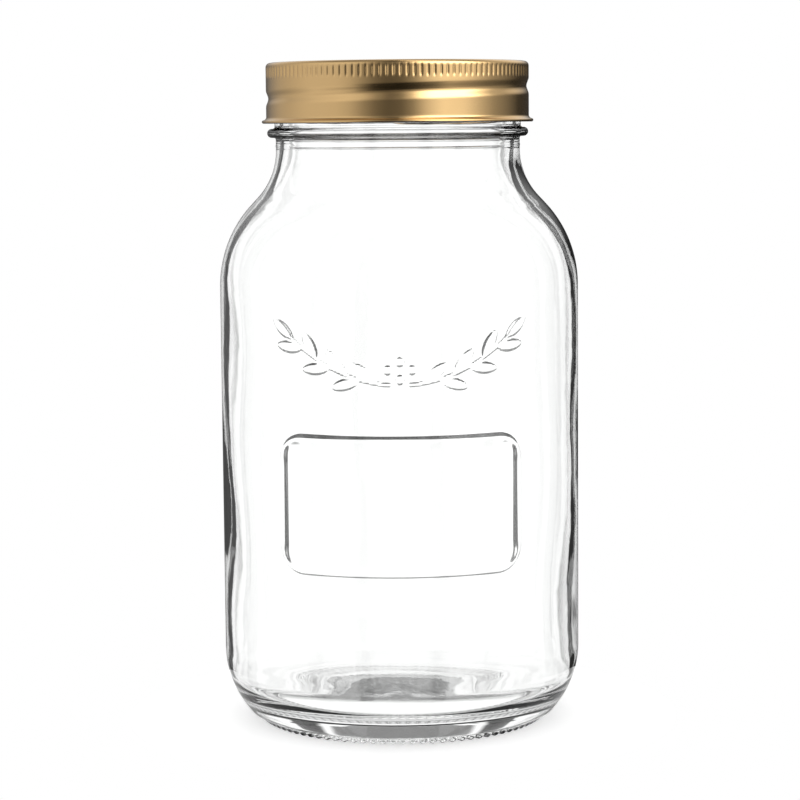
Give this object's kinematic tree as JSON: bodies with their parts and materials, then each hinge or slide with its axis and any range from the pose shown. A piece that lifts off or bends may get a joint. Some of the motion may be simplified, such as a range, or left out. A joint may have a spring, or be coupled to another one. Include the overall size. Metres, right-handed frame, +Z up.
{
  "type": "preserving jar",
  "caption": "Clear glass preserving jar with a raised label frame, ribbed foot and transfer bead, shut by a sealing disc under a knurled gold screw band.",
  "frame": {"origin": "on the jar's axis, in the plane of the table that it stands on", "axes": "+Z up the jar's axis, -Y out of the front, where the raised label frame is, +X to the right of someone who faces the frame"},
  "size_m": [0.097, 0.0979, 0.178],
  "materials": {
    "clear_glass": "clear, glossy, slightly uneven as pressed and blown glass is",
    "sealing_compound": "matte",
    "gold_disc": "satin gold lacquer on tinplate",
    "gold_band": "satin gold lacquer on tinplate"
  },
  "bodies": {
    "root": {"glass_jar": "clear_glass", "gasket": "sealing_compound", "sealing_disc": "gold_disc", "screw_band": "gold_band"}
  },
  "joints": []
}
